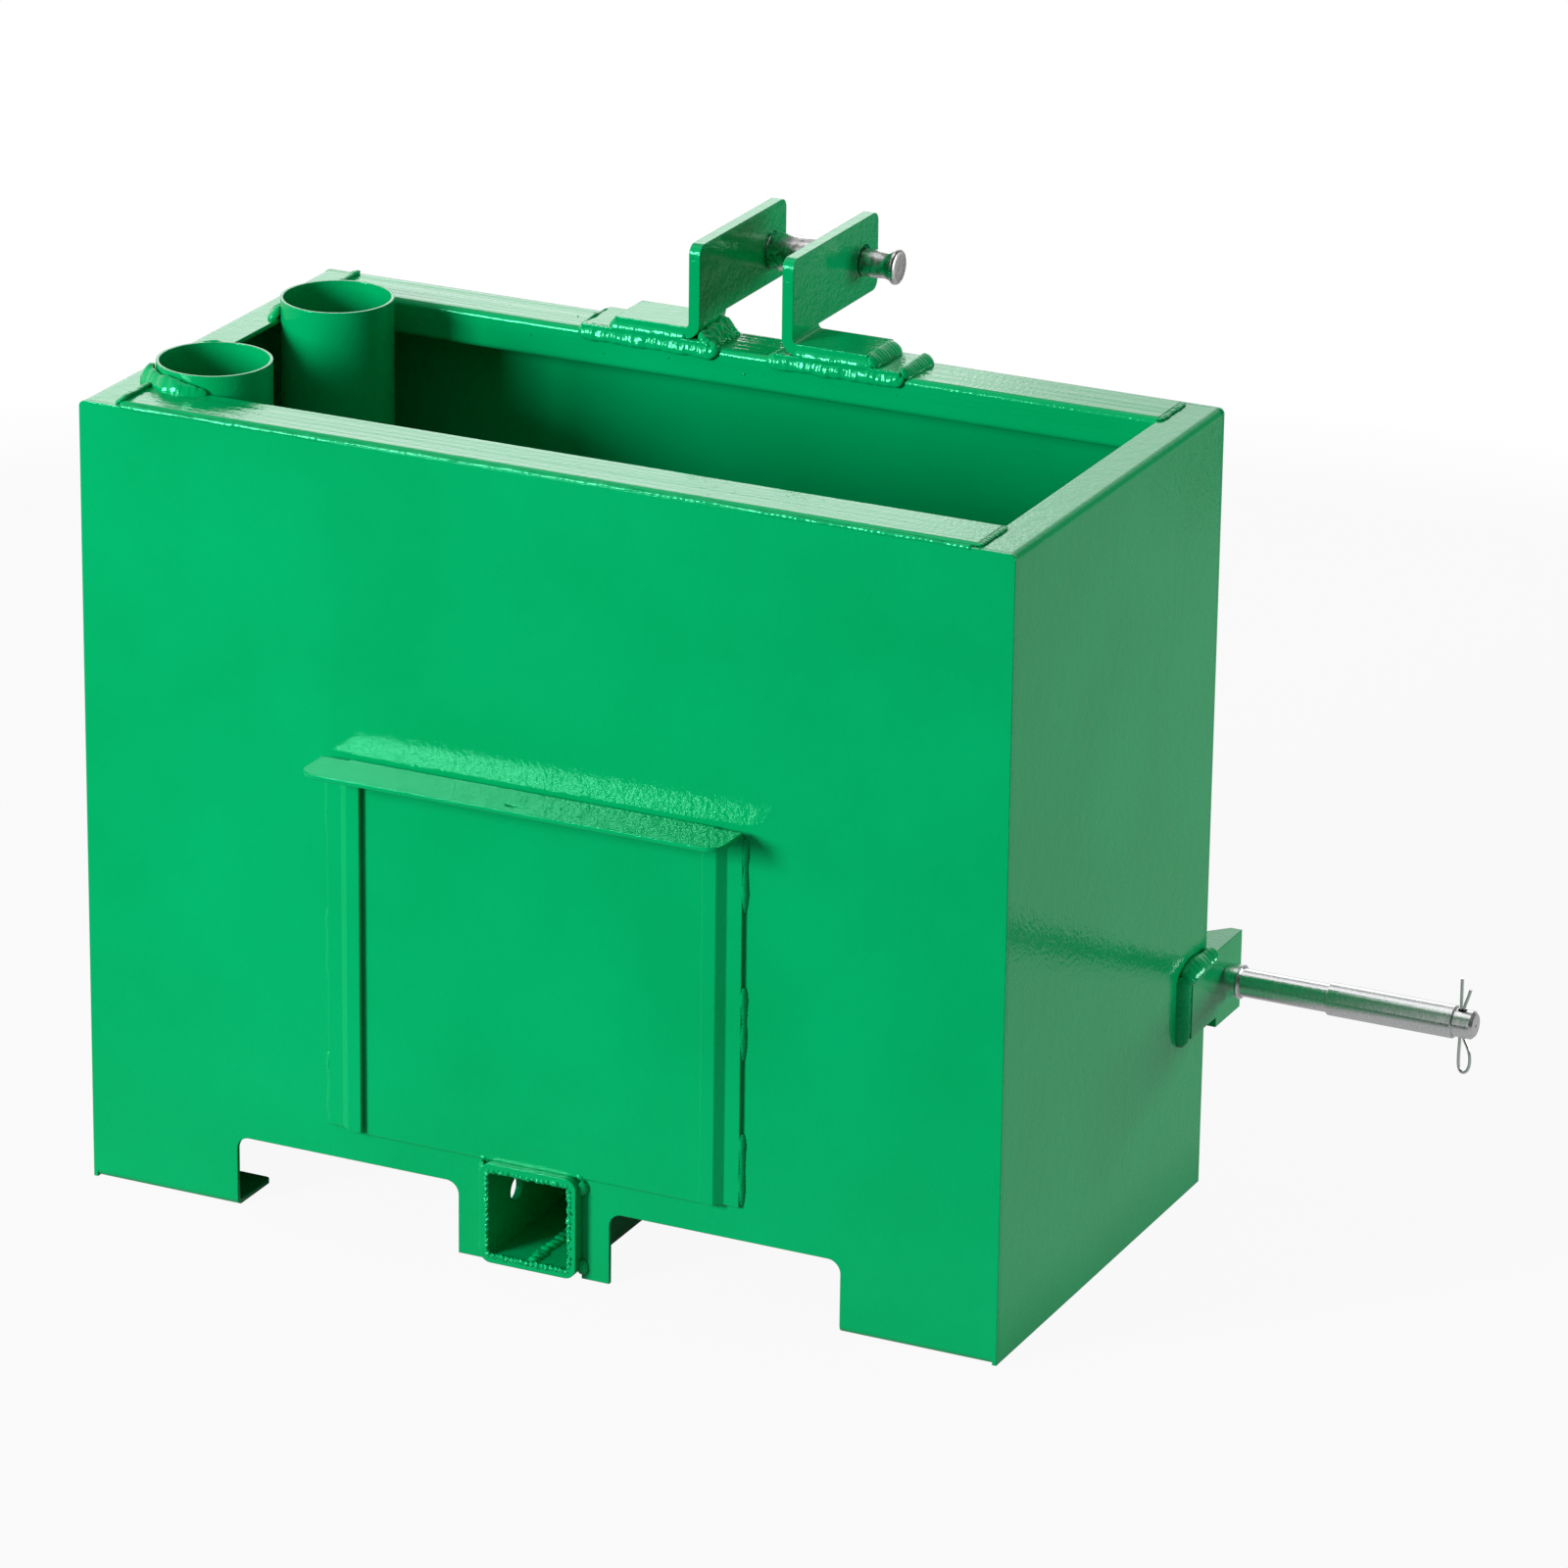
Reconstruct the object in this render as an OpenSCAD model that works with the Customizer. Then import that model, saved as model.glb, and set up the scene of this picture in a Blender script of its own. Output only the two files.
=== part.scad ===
// Ballast box for a three-point tractor hitch: a folded and welded steel box
// with a sliding discharge gate, a receiver tube, two tool tubes, a top-link
// clevis on its rear rim and a hitch pin on each side.

/* [Box] */
// Width across the side panels
box_w = 660; // [560:10:800]
// Depth from front panel to rear panel
box_d = 330; // [290:10:420]
// Height of the sheets
box_h = 543; // [480:1:640]
// Sheet thickness
sheet_t = 3; // [2:0.5:4]
// Inside radius of a sheet bend
bend_r = 2; // [1:0.5:3]
// Width of the flange folded in at the top of a side panel
side_flange = 28; // [20:1:40]
// Radius at the upper corners of the end panels
panel_corner_r = 4; // [1:1:8]

/* [Feet and fork pockets] */
// Width of each outer foot
foot_w = 110; // [80:5:140]
// Half width of the middle foot
mid_foot = 55; // [48:1:70]
// Height of the fork pockets
pocket_h = 50; // [35:1:60]
// Corner radius of the fork pockets
pocket_r = 9; // [4:1:14]
// Depth of the flange folded in under each outer foot
foot_flange = 45; // [25:1:60]
// Corner radius of the foot flange
foot_flange_r = 4; // [2:1:8]

/* [Rim tubes] */
// Width of the rim tube, front to back
rim_w = 43; // [30:1:55]
// Height of the rim tube
rim_h = 25; // [18:1:40]
// Wall of the rim tube
rim_wall = 2.5; // [2:0.5:3.5]
// Outer corner radius of the rim tube
rim_r = 4; // [3.5:0.5:6]
// Rise of the rim tube above the sheets
rim_rise = 2; // [1:0.5:3]

/* [Tool tubes] */
// Outside diameter of a tool tube
tool_d = 76; // [60:1:90]
// Wall of a tool tube
tool_wall = 2; // [1.5:0.5:4]
// Height of a tool tube above the rim
tool_rise = 12; // [6:1:40]
// Front tube axis, from the left side
front_tool_x = 56; // [54:1:66]
// Front tube axis, from the front
front_tool_y = 78; // [76:1:88]
// Rear tube axis, from the left side
rear_tool_x = 60; // [57:1:70]
// Rear tube axis, from the rear
rear_tool_y = 94; // [86:1:110]

/* [Receiver] */
// Outside size of the square receiver tube
receiver_size = 70; // [60:1:76]
// Wall of the receiver tube
receiver_wall = 5; // [3:0.5:6]
// Outer corner radius of the receiver tube
receiver_r = 8; // [7:0.5:10]
// Height of the receiver's underside
receiver_z = 2; // [1:0.5:6]
// Reach of the receiver in front of the box
receiver_reach = 9; // [6:1:30]
// Diameter of the hole for the receiver pin
receiver_pin_d = 17; // [12:0.5:20]
// Distance of that hole from the receiver's mouth
receiver_pin_y = 43; // [30:1:70]

/* [Discharge gate] */
// Width of the gate between its rails
gate_w = 261; // [221:2:301]
// Height of the gate, flange included
gate_h = 260; // [220:1:300]
// Thickness of the gate
gate_t = 3; // [2:0.5:4]
// Reach of the flange that lifts the gate
gate_flange = 36.6; // [24:0.2:44]
// Corner radius of the gate flange
gate_corner_r = 11; // [4:1:14]
// Diameter of the hole in the gate flange
gate_hole_d = 14; // [8:1:18]
// Width of the opening behind the gate
opening_w = 210; // [150:5:216]
// Height of the opening behind the gate
opening_h = 205; // [120:5:230]
// Corner radius of that opening
opening_r = 6; // [3:1:12]
// Rise of the opening's sill above the floor plate
sill_h = 10; // [6:1:20]

/* [Gate rails] */
// Thickness of a rail
rail_t = 3; // [2:0.5:3.5]
// Width of the welded flange of a rail, on its back
rail_foot = 11.7; // [8:0.1:16]
// Width of the lip that holds the gate, on its back
rail_lip = 8.6; // [7:0.1:14]
// Distance of the lip from the panel
rail_step = 4.7; // [4.1:0.1:8]
// Width of the sloping web between them
rail_web = 5.7; // [3:0.1:8]
// Length of a weld stitch beside a rail
rail_stitch = 52; // [30:1:60]

/* [Top-link clevis] */
// Offset of the clevis from the middle of the box
mast_offset = 5; // [-10:1:10]
// Gap between the ears
clevis_gap = 60; // [48:1:70]
// Thickness of the bracket plate
ear_t = 8; // [6:0.5:10]
// Reach of an ear, front to back
ear_l = 131; // [110:1:150]
// Height of an ear above its bend
ear_h = 53.5; // [46:0.5:70]
// Corner radius of an ear
ear_r = 7; // [4:0.5:12]
// Inside radius of the bend below an ear
ear_bend_r = 3; // [2:0.5:5]
// Length of the leg under an ear
leg_l = 62; // [50:1:75]
// Width of that leg, front to back
leg_w = 40; // [36:1:42]
// Length of the pad plate
pad_l = 91; // [84:1:110]
// Setback of the leg from the front edge of the pad plate
leg_weld = 1.5; // [1:0.5:2]
// Width of the pad plate
pad_w = 42; // [40:1:46]
// Thickness of the pad plate
pad_t = 4; // [3:0.5:6]
// Diameter of the top pin
top_pin_d = 19; // [16:0.5:20]
// Diameter of the holes in the ears
ear_hole_d = 22; // [21:0.5:24]
// Distance of those holes from the rear end of the ears
ear_hole_y = 21.5; // [19:0.5:26]
// Length of the top pin beyond the right ear
top_pin_reach = 26; // [20:1:40]
// Diameter of the head of the top pin
top_head_d = 24; // [22.5:0.5:28]
// Length of the top pin beyond the left ear
top_pin_tail = 13; // [11:1:20]

/* [Lower hitch brackets] */
// Thickness of the bracket's web
bracket_t = 8; // [6:0.5:10]
// Length of the tongue that laps the side panel
tongue_l = 41; // [30:1:60]
// Height of the tongue
tongue_h = 41; // [34:1:50]
// Reach of the bracket behind the box
bracket_reach = 42.5; // [38:0.5:60]
// Height of the bracket behind the box
bracket_h = 55; // [46:1:70]
// Thickness of the bracket's flanges
bracket_flange_t = 5; // [4:0.5:6]
// Inboard reach of the flanges along the rear panel
bracket_in = 38; // [30:1:60]

/* [Hitch pins] */
// Height of the hitch pins
pin_z = 140; // [120:1:200]
// Distance of the hitch pins behind the box
pin_y = 20; // [17.5:0.5:24]
// Diameter of a hitch pin
pin_d = 19; // [17:0.5:20]
// Length of a hitch pin outside its bracket
pin_l = 176; // [150:1:220]
// Diameter of the shoulder at the bracket
shoulder_d = 22.3; // [21.5:0.1:25]
// Length of that shoulder
shoulder_l = 9; // [6:1:14]
// Diameter of the threaded end
stud_d = 18; // [14:0.5:18.5]
// Wire diameter of the ring outside the shoulder
ring_wire = 2.2; // [1.4:0.1:3]
// Outside diameter of the sleeve that takes the lower link
sleeve_d = 22.2; // [21.6:0.1:26]
// Length of the sleeve
sleeve_l = 88.5; // [60:0.5:100]
// Running clearance of the sleeve on its pin, on the radius
sleeve_fit = 0.08; // [0.04:0.01:0.1]
// Diameter of the cotter hole
cotter_hole_d = 6.4; // [6:0.1:7]
// Distance of the cotter hole from the tip
cotter_inset = 9.5; // [7:0.5:14]
// Width across the flats of the nut
nut_af = 27; // [24:0.5:28]
// Thickness of the nut
nut_h = 14; // [10:0.5:16]
// Thickness of the lock washer
washer_t = 4; // [3:0.5:5]

/* [Cotter pins] */
// Wire diameter of a cotter
cotter_wire = 2.2; // [2:0.1:2.3]
// Reach of the longer leg above the pin's axis
cotter_leg = 31.5; // [26:0.5:40]
// Reach of the eye below the pin's axis
cotter_eye = 35.5; // [30:0.5:45]
// Width of the eye
eye_w = 8.6; // [7:0.2:10]

/* [Clearances and welds] */
// Clearance of a moving sheet from what it slides on
slide_gap = 0.4; // [0.3:0.1:0.6]
// Clearance round a welded insert
weld_gap = 0.2; // [0.1:0.1:0.5]
// Clearance of a nut or washer on its stud, on the radius
thread_gap = 0.05; // [0.03:0.01:0.1]
// Leg of a heavy fillet weld
weld_leg = 6; // [4:0.5:7]
// Leg of a light fillet weld
tack_leg = 2.5; // [1.5:0.5:3]

/* [Hidden] */
$fn = 64;

paint = [0.00, 0.62, 0.36];
zinc = [0.72, 0.73, 0.74];

half_w = box_w / 2;
bend_out = bend_r + sheet_t;
rim_top = box_h + rim_rise;
rim_half = half_w - side_flange;
floor_z = receiver_z + receiver_size;
floor_top = floor_z + sheet_t;
sill_z = floor_top + sill_h;

tool_r = tool_d / 2;
tool_top = rim_top + tool_rise;
front_tool = [front_tool_x - half_w, front_tool_y];
rear_tool = [rear_tool_x - half_w, box_d - rear_tool_y];

// The gate stands on the receiver tube
gate_bottom = floor_z;
gate_top = gate_bottom + gate_h;
gate_back = -slide_gap;
gate_front = gate_back - gate_t;
gate_edge_y = gate_front - gate_flange;
// The rails end below the bend of the gate
rail_top = gate_top - gate_t - bend_r;
rail_bottom = gate_bottom + 2;
// Side play of the gate at the webs of the rails
gate_side_gap = 1.1;
rail_web_x = gate_w / 2 + gate_side_gap;
rail_outer = rail_web_x + rail_web + rail_foot;
gate_flange_half = rail_outer + 1;

rim_inner_y = box_d - sheet_t - rim_w;
pad_y = rim_inner_y - 2;
leg_y = pad_y + leg_weld;
pad_top = rim_top + pad_t;
ear_bend_out = ear_bend_r + ear_t;
ear_z = pad_top + ear_bend_out;
ear_top = ear_z + ear_h;
ear_rear = leg_y + ear_l;
ear_hole_z = ear_z + ear_h / 2 - 2;
top_pin_y = ear_rear - ear_hole_y;
// The pin lies on the lower side of the holes
top_pin_z = ear_hole_z - (ear_hole_d - top_pin_d) / 2 + 0.3;
left_ear_in = mast_offset - clevis_gap / 2;
right_ear_in = mast_offset + clevis_gap / 2;
top_pin_x0 = left_ear_in - ear_t - top_pin_tail;
top_pin_x1 = right_ear_in + ear_t + top_pin_reach;
top_cotter_x = (top_pin_x0 + left_ear_in - ear_t) / 2;

web_out = half_w + bracket_t;
pin_axis_y = box_d + pin_y;
pin_tip = web_out + pin_l;
cotter_x = pin_tip - cotter_inset;
// Reach of the cotter's long leg towards the sleeve
cotter_side = cotter_wire + 0.4;
// Room between the end of the sleeve and the cotter
sleeve_end_gap = 2;
sleeve_x1 = cotter_x - cotter_side - sleeve_end_gap;
sleeve_x0 = sleeve_x1 - sleeve_l;
stud_end = half_w - washer_t - nut_h - 4;

// The origin lies on the ground, in the middle of the whole outline, which
// ends at the legs of the upper cotter
mid_y = (top_pin_y + cotter_leg + gate_edge_y) / 2;

// Plan and profile helpers

module placed() {
    translate([0, -mid_y, 0]) children();
}

module rounded(w, h, r) {
    translate([r, 0]) square([w - 2 * r, h]);
    translate([0, r]) square([w, h - 2 * r]);
    for (x = [r, w - r], y = [r, h - r])
        translate([x, y]) circle(r = r);
}

// Angle section whose outer corner is the origin: one side along +x, one
// along +y, joined by a bend
module bent_angle(a, b, t, r) {
    out = r + t;
    translate([out, 0]) square([a - out, t]);
    if (b > out) translate([0, out]) square([t, b - out]);
    translate([out, out]) intersection() {
        difference() {
            circle(r = out);
            circle(r = r);
        }
        translate([-out, -out]) square(out);
    }
}

// Right-angled fillet along +z, its corner on the z axis
module fillet_bar(leg, l) {
    linear_extrude(l) polygon([[0, 0], [leg, 0], [0, leg]]);
}

// Lays a shape drawn in x and z flat against the front, its back at y = t
module upright(t) {
    translate([0, t, 0]) rotate([90, 0, 0]) linear_extrude(t) children();
}

// Stretches a section drawn in y and z along x
module along_x(x0, x1) {
    translate([x0, 0, 0]) rotate([90, 0, 90]) linear_extrude(x1 - x0) children();
}

// Turned piece whose axis is x, drawn as radius against distance
module turned_x() {
    rotate([0, 90, 0]) rotate_extrude() children();
}

module mirrored_if(left) {
    mirror([left ? 1 : 0, 0, 0]) children();
}

// Box

module pocket_outline() {
    translate([mid_foot, 0]) {
        translate([0, -pocket_r]) rounded(half_w - foot_w - mid_foot,
            pocket_h + pocket_r, pocket_r);
    }
}

module end_outline() {
    difference() {
        union() {
            translate([-half_w, 0]) rounded(box_w, box_h, panel_corner_r);
            translate([-half_w, 0]) square([box_w, box_h / 2]);
        }
        pocket_outline();
        mirror([1, 0]) pocket_outline();
        // Room for the bend under each outer foot
        for (side = [-1, 1])
            translate([side * (half_w - (foot_w + sheet_t) / 2)
                - (foot_w - sheet_t) / 2, -1]) square([foot_w - sheet_t, bend_out + 1]);
    }
}

module foot_bend(left) {
    mirrored_if(left) difference() {
        along_x(half_w - foot_w, half_w - sheet_t)
            bent_angle(foot_flange, bend_out, sheet_t, bend_r);
        translate([half_w - foot_w, foot_flange, -1]) difference() {
            translate([-1, -foot_flange_r, 0]) cube([foot_flange_r + 1,
                foot_flange_r + 1, sheet_t + 2]);
            translate([foot_flange_r, -foot_flange_r, -1])
                cylinder(r = foot_flange_r, h = sheet_t + 4);
        }
        // Slot between the flange and the side panel
        translate([half_w - sheet_t - weld_gap, sheet_t, -1])
            cube([sheet_t, foot_flange, bend_out + 2]);
    }
}

module receiver_section(extra = 0) {
    size = receiver_size + 2 * extra;
    translate([-size / 2, receiver_z - extra]) rounded(size, size, receiver_r);
}

module front_panel() {
    color(paint) placed() {
        upright(sheet_t) difference() {
            end_outline();
            receiver_section(weld_gap);
            // The slot for the receiver runs out below
            translate([-receiver_size / 2 - weld_gap, -1])
                square([receiver_size + 2 * weld_gap, receiver_size / 2]);
            translate([-opening_w / 2, sill_z]) rounded(opening_w, opening_h, opening_r);
        }
        foot_bend(false);
        foot_bend(true);
    }
}

module rear_panel() {
    color(paint) placed() translate([0, box_d, 0]) mirror([0, 1, 0]) {
        upright(sheet_t) end_outline();
        foot_bend(false);
        foot_bend(true);
    }
}

module side_panel(left) {
    translate([left ? -half_w : half_w, box_d - sheet_t, box_h])
        mirrored_if(!left) rotate([90, 0, 0])
        linear_extrude(box_d - 2 * sheet_t)
        mirror([0, 1]) bent_angle(side_flange, box_h, sheet_t, bend_r);
}

module tool_clearance(spot) {
    translate([spot[0], spot[1], floor_z])
        cylinder(r = tool_r + weld_gap, h = box_h, $fn = 96);
}

module left_side_panel() {
    color(paint) placed() difference() {
        side_panel(true);
        tool_clearance(front_tool);
        tool_clearance(rear_tool);
    }
}

module right_side_panel() {
    color(paint) placed() side_panel(false);
}

module floor_plate() {
    color(paint) placed() translate([sheet_t - half_w, sheet_t, floor_z])
        cube([box_w - 2 * sheet_t, box_d - 2 * sheet_t, sheet_t]);
}

// Rim

module rim_section() {
    translate([0, rim_top - rim_h]) rounded(rim_w, rim_h, rim_r);
}

module rim_bore() {
    translate([rim_wall, rim_top - rim_h + rim_wall])
        rounded(rim_w - 2 * rim_wall, rim_h - 2 * rim_wall, rim_r - rim_wall);
}

module front_rim_tube() {
    color(paint) placed() difference() {
        translate([0, sheet_t, 0]) along_x(-rim_half, rim_half) difference() {
            rim_section();
            rim_bore();
        }
        tool_clearance(front_tool);
    }
}

module rear_rim_tube() {
    color(paint) placed() translate([0, rim_inner_y, 0])
        along_x(-rim_half, rim_half) difference() {
            rim_section();
            rim_bore();
        }
}

module rim_welds() {
    color(paint) placed()
        for (left = [false, true], y = [sheet_t, rim_inner_y])
            mirrored_if(left) translate([rim_half, y + rim_w - rim_r, box_h])
                rotate([90, 0, 0]) fillet_bar(rim_rise, rim_w - 2 * rim_r);
}

// Tool tubes

module tool_tube(spot) {
    translate([spot[0], spot[1], floor_top]) difference() {
        cylinder(r = tool_r, h = tool_top - floor_top, $fn = 96);
        translate([0, 0, -1])
            cylinder(r = tool_r - tool_wall, h = tool_top, $fn = 96);
    }
}

module front_tool_tube() {
    color(paint) placed() tool_tube(front_tool);
}

module rear_tool_tube() {
    color(paint) placed() tool_tube(rear_tool);
}

// Part of a fillet ring round a tool tube, between two angles
module ring_weld(spot, z, from, to) {
    translate([spot[0], spot[1], z]) rotate([0, 0, from])
        rotate_extrude(angle = to - from, $fn = 96)
        translate([tool_r, 0]) polygon([[0, 0], [weld_leg, 0], [0, weld_leg]]);
}

module tool_tube_welds() {
    color(paint) placed() {
        ring_weld(front_tool, rim_top, 240, 282);
        ring_weld(front_tool, box_h, 146, 206);
        ring_weld(rear_tool, box_h, 164, 196);
    }
}

// Receiver

module receiver_tube() {
    depth = box_d - sheet_t + receiver_reach;
    color(paint) placed() difference() {
        translate([0, box_d - sheet_t, 0]) rotate([90, 0, 0])
            linear_extrude(depth) difference() {
                receiver_section();
                translate([receiver_wall - receiver_size / 2, receiver_z + receiver_wall])
                    rounded(receiver_size - 2 * receiver_wall,
                        receiver_size - 2 * receiver_wall, receiver_r - receiver_wall);
            }
        translate([-receiver_size, receiver_pin_y - receiver_reach,
            receiver_z + receiver_size / 2]) rotate([0, 90, 0])
            cylinder(d = receiver_pin_d, h = 2 * receiver_size);
    }
}

module receiver_welds() {
    tack = 8;
    color(paint) placed()
        for (left = [false, true], z = [receiver_r, receiver_size - receiver_r - tack])
            mirrored_if(left) translate([receiver_size / 2, 0, receiver_z + z])
                mirror([0, 1, 0]) fillet_bar(tack_leg, tack);
}

// Discharge gate

module gate() {
    out = bend_r + gate_t;
    wing_y = gate_front - bend_r - 1;
    color(paint) placed() {
        // Sheet with its upper edge bent to the front
        along_x(-gate_w / 2, gate_w / 2) translate([gate_back, gate_top])
            rotate(180) bent_angle(-gate_edge_y + gate_back - gate_corner_r,
                gate_h, gate_t, bend_r);
        // Flange with its hole
        translate([0, 0, gate_top - gate_t]) linear_extrude(gate_t) difference() {
            translate([-gate_flange_half, gate_edge_y]) union() {
                translate([gate_corner_r, 0])
                    square([2 * (gate_flange_half - gate_corner_r), gate_corner_r + 1]);
                translate([0, gate_corner_r])
                    square([2 * gate_flange_half, wing_y - gate_edge_y - gate_corner_r]);
                for (x = [gate_corner_r, 2 * gate_flange_half - gate_corner_r])
                    translate([x, gate_corner_r]) circle(r = gate_corner_r);
            }
            translate([0, gate_edge_y + gate_corner_r + 3]) circle(d = gate_hole_d);
        }
    }
}

// Stepped section of a rail on the right-hand side of the gate
module rail_section() {
    // Shift of the outer fold lines against the inner ones
    shift = rail_t * tan(atan2(rail_step, rail_web) / 2);
    x0 = rail_web_x;
    x1 = x0 + rail_web;
    front = -rail_step - rail_t;
    polygon([[rail_outer, 0], [x1, 0], [x0, -rail_step], [x0 - rail_lip, -rail_step],
        [x0 - rail_lip, front], [x0 + shift, front], [x1 + shift, -rail_t],
        [rail_outer, -rail_t]]);
}

module gate_rail(left) {
    mirrored_if(left) translate([0, 0, rail_bottom])
        linear_extrude(rail_top - rail_bottom) rail_section();
}

module left_gate_rail() {
    color(paint) placed() gate_rail(true);
}

module right_gate_rail() {
    color(paint) placed() gate_rail(false);
}

module rail_welds() {
    pitch = (rail_top - rail_bottom - rail_stitch) / 2;
    color(paint) placed()
        for (left = [false, true], i = [0:2])
            mirrored_if(left) translate([rail_outer, 0, rail_bottom + i * pitch])
                mirror([0, 1, 0]) fillet_bar(tack_leg, rail_stitch);
}

// Top-link clevis, drawn for the right ear and mirrored for the left one

module at_mast(left) {
    translate([mast_offset, 0, 0]) mirrored_if(left)
        translate([clevis_gap / 2, 0, 0]) children();
}

module pad_plate() {
    translate([-5, pad_y, rim_top]) cube([pad_l, pad_w, pad_t]);
}

module left_pad_plate() {
    color(paint) placed() at_mast(true) pad_plate();
}

module right_pad_plate() {
    color(paint) placed() at_mast(false) pad_plate();
}

module top_bracket() {
    difference() {
        union() {
            // Leg and bend
            translate([0, leg_y + leg_w, pad_top]) rotate([90, 0, 0])
                linear_extrude(leg_w)
                bent_angle(leg_l, ear_bend_out, ear_t, ear_bend_r);
            // Ear
            along_x(0, ear_t) translate([leg_y, ear_z]) {
                rounded(ear_l, ear_h, ear_r);
                square(ear_r);
            }
        }
        translate([-1, ear_rear - ear_hole_y, ear_hole_z]) rotate([0, 90, 0])
            cylinder(d = ear_hole_d, h = ear_t + 2);
    }
}

module left_top_bracket() {
    color(paint) placed() at_mast(true) top_bracket();
}

module right_top_bracket() {
    color(paint) placed() at_mast(false) top_bracket();
}

module pad_welds() {
    color(paint) placed() for (left = [false, true]) at_mast(left) {
        // Between the leg and the pad
        translate([ear_bend_out, leg_y, pad_top]) rotate([0, 90, 0])
            mirror([1, 1, 0]) fillet_bar(leg_weld, leg_l - ear_bend_out);
        // Under the overhanging edge of the pad
        difference() {
            translate([-5, 0, 0]) along_x(0, pad_l)
                polygon([[pad_y, rim_top], [rim_inner_y + rim_r, rim_top],
                    [rim_inner_y + rim_r, rim_top - rim_r],
                    [rim_inner_y, rim_top - weld_leg]]);
            translate([-6, rim_inner_y, 0]) along_x(0, pad_l + 2) rim_section();
        }
        // At the outer end of the pad
        translate([pad_l - 5, rim_inner_y + rim_r, rim_top])
            rotate([-90, 0, 0]) mirror([0, 1, 0]) fillet_bar(pad_t, pad_w - rim_r - leg_weld);
    }
}

module top_pin() {
    r = top_pin_d / 2;
    head_r = top_head_d / 2;
    l = top_pin_x1 - top_pin_x0;
    flare = 6;
    rim = 2.5;
    bevel = 1.5;
    color(zinc) placed() translate([top_pin_x0, top_pin_y, top_pin_z]) difference() {
        turned_x() polygon([[0, 0], [r - bevel, 0], [r, bevel], [r, l - rim - flare],
            [head_r, l - rim], [head_r, l - 0.6], [head_r - 0.6, l], [0, l]]);
        translate([top_cotter_x - top_pin_x0, 0, 0]) rotate([90, 0, 0])
            cylinder(d = cotter_hole_d, h = 2 * top_pin_d, center = true);
    }
}

// Arc of round wire in the plane y = 0: it starts at the origin along +z and
// turns towards +x
module wire_arc(bow, angle, r) {
    translate([bow, 0, 0]) rotate([90, 0, 0]) rotate([0, 0, 180 - angle])
        rotate_extrude(angle = angle, $fn = 72) translate([bow, 0]) circle(r = r, $fn = 24);
}

// Split pin through a cross hole, its eye below and its legs above
module cotter() {
    r = cotter_wire / 2;
    leg_gap = 0.2;
    fixed_x = -cotter_side + r;
    loose_x = fixed_x + cotter_wire + leg_gap;
    bow_r = (eye_w - cotter_wire) / 2;
    bow_z = -cotter_eye + r + bow_r;
    side_x = fixed_x + 2 * bow_r;
    // The bulging side of the eye returns to the short leg in two quarter turns
    turn_r = (side_x - loose_x) / 2;
    neck_z = -pin_d / 2 - 2;
    // The short leg leans away from the long one above the pin
    spring_z = pin_d / 2;
    loose_top = cotter_leg - 6;
    spread = cotter_hole_d / 2 - r - 0.4 - loose_x;
    lean = atan2(spread, loose_top - spring_z);
    translate([fixed_x, 0, bow_z]) cylinder(r = r, h = cotter_leg - bow_z, $fn = 24);
    translate([fixed_x, 0, bow_z]) rotate([180, 0, 0]) wire_arc(bow_r, 180, r);
    translate([side_x, 0, bow_z])
        cylinder(r = r, h = neck_z - 2 * turn_r - bow_z, $fn = 24);
    translate([side_x, 0, neck_z - 2 * turn_r]) rotate([0, 0, 180]) wire_arc(turn_r, 90, r);
    translate([loose_x, 0, neck_z]) rotate([180, 0, 0]) wire_arc(turn_r, 90, r);
    translate([loose_x, 0, neck_z]) cylinder(r = r, h = spring_z - neck_z, $fn = 24);
    translate([loose_x, 0, spring_z]) rotate([0, lean, 0])
        cylinder(r = r, h = loose_top - spring_z, $fn = 24);
}

module top_cotter() {
    color(zinc) placed() translate([top_cotter_x, top_pin_y, top_pin_z])
        rotate([-90, 0, 0]) rotate([0, 0, 90]) cotter();
}

// Lower hitch brackets and pins, drawn for the right-hand side

module pin_bracket() {
    tongue_y = box_d - tongue_l;
    z0 = pin_z - bracket_h / 2;
    rear_y = box_d + bracket_reach;
    slot = 1;
    difference() {
        union() {
            // Tongue and web in one plate
            translate([half_w, 0, 0]) along_x(0, bracket_t) {
                translate([tongue_y, pin_z - tongue_h / 2])
                    square([tongue_l + slot, tongue_h]);
                translate([box_d + slot, z0])
                    square([bracket_reach - slot, bracket_h]);
            }
            // Flanges with a sloping inner edge
            for (z = [z0, z0 + bracket_h - bracket_flange_t])
                translate([0, 0, z]) linear_extrude(bracket_flange_t)
                    polygon([[web_out, box_d + slot], [web_out, rear_y], [half_w, rear_y],
                        [half_w - bracket_in, box_d + slot], [half_w - bracket_in, box_d],
                        [half_w, box_d], [half_w, box_d + slot]]);
        }
        translate([half_w - 1, pin_axis_y, pin_z]) rotate([0, 90, 0])
            cylinder(r = stud_d / 2 + thread_gap, h = bracket_t + 2);
    }
}

module hitch_pin() {
    r = pin_d / 2;
    shoulder_r = shoulder_d / 2;
    stud_r = stud_d / 2;
    x_shoulder = web_out - stud_end;
    x_shaft = x_shoulder + shoulder_l;
    x_tip = pin_tip - stud_end;
    bevel = 2;
    translate([stud_end, pin_axis_y, pin_z]) difference() {
        turned_x() polygon([[0, 0], [stud_r - 1.5, 0], [stud_r, 1.5],
            [stud_r, x_shoulder], [shoulder_r, x_shoulder], [shoulder_r, x_shaft],
            [r, x_shaft], [r, x_tip - bevel], [r - bevel, x_tip], [1.6, x_tip],
            [0, x_tip - 1.6]]);
        translate([cotter_x - stud_end, 0, 0])
            cylinder(d = cotter_hole_d, h = 2 * pin_d, center = true);
    }
}

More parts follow.
